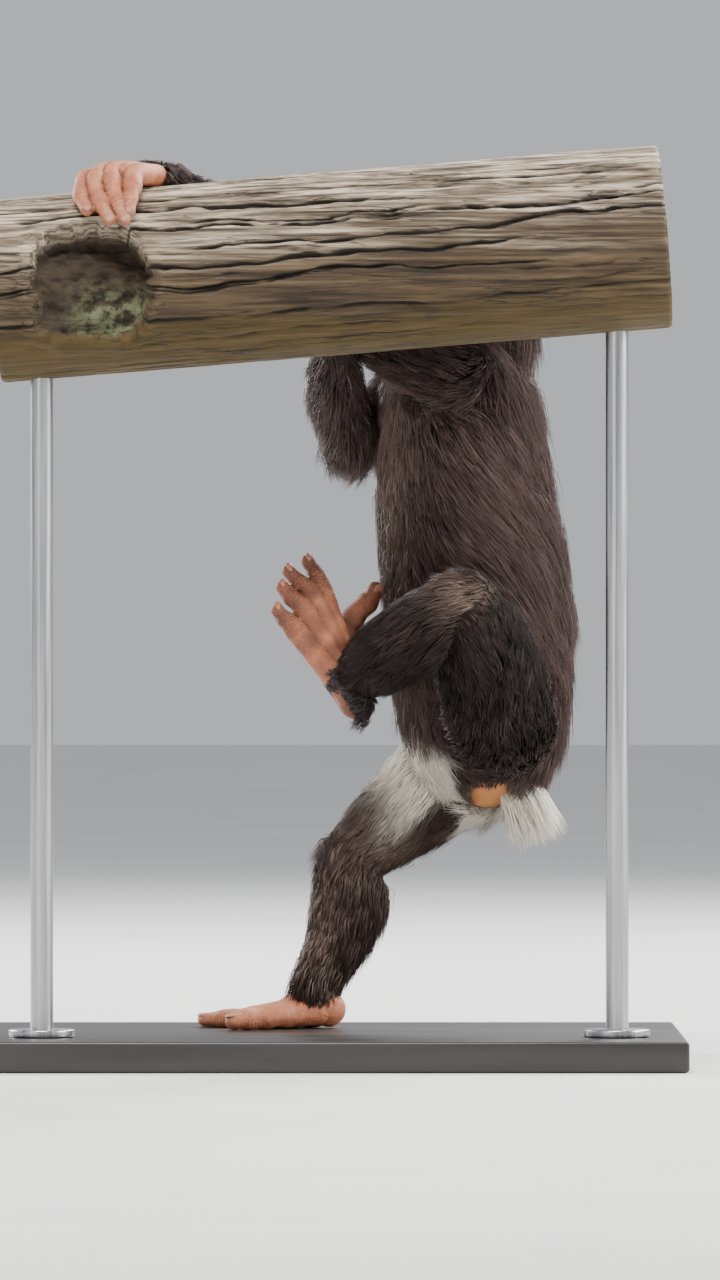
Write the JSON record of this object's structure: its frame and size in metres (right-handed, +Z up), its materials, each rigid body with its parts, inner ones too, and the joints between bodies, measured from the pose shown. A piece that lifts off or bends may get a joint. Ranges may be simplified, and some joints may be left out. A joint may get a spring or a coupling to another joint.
{
  "type": "young chimpanzee model",
  "caption": "Life-size still model of a young chimpanzee climbing past a short log, one foot raised, held by a plain flat base with rods.",
  "frame": {"origin": "centre of the underside of the stand's base", "axes": "+Z up, +X along the base's length and the way the animal's back faces, +Y away from the side that the picture shows, so the animal looks along -X and its left side faces -Y"},
  "size_m": [0.56, 0.356, 0.726],
  "materials": {
    "dark_coat": "long dark brown hair",
    "white_coat": "long white hair",
    "pale_skin": "soft creased skin",
    "eye": "wet gloss",
    "weathered_wood": "cracked and weathered",
    "stand_board": "satin black lacquer",
    "stand_steel": "satin"
  },
  "bodies": {
    "root": {"torso": "dark_coat", "neck": "dark_coat", "head": "dark_coat", "ear_left": "pale_skin", "ear_right": "pale_skin", "eye_left": "eye", "eye_right": "eye", "upper_arm_left": "dark_coat", "forearm_left": "dark_coat", "hand_left": "pale_skin", "upper_arm_right": "dark_coat", "forearm_right": "dark_coat", "hand_right": "pale_skin", "thigh_left": "dark_coat", "shin_left": "dark_coat", "foot_left": "pale_skin", "thigh_right": "dark_coat", "shin_right": "dark_coat", "foot_right": "pale_skin", "rump_tuft": "white_coat", "perch_log": "weathered_wood", "stand_base": "stand_board", "stand_rod_left": "stand_steel", "stand_rod_right": "stand_steel"}
  },
  "joints": []
}
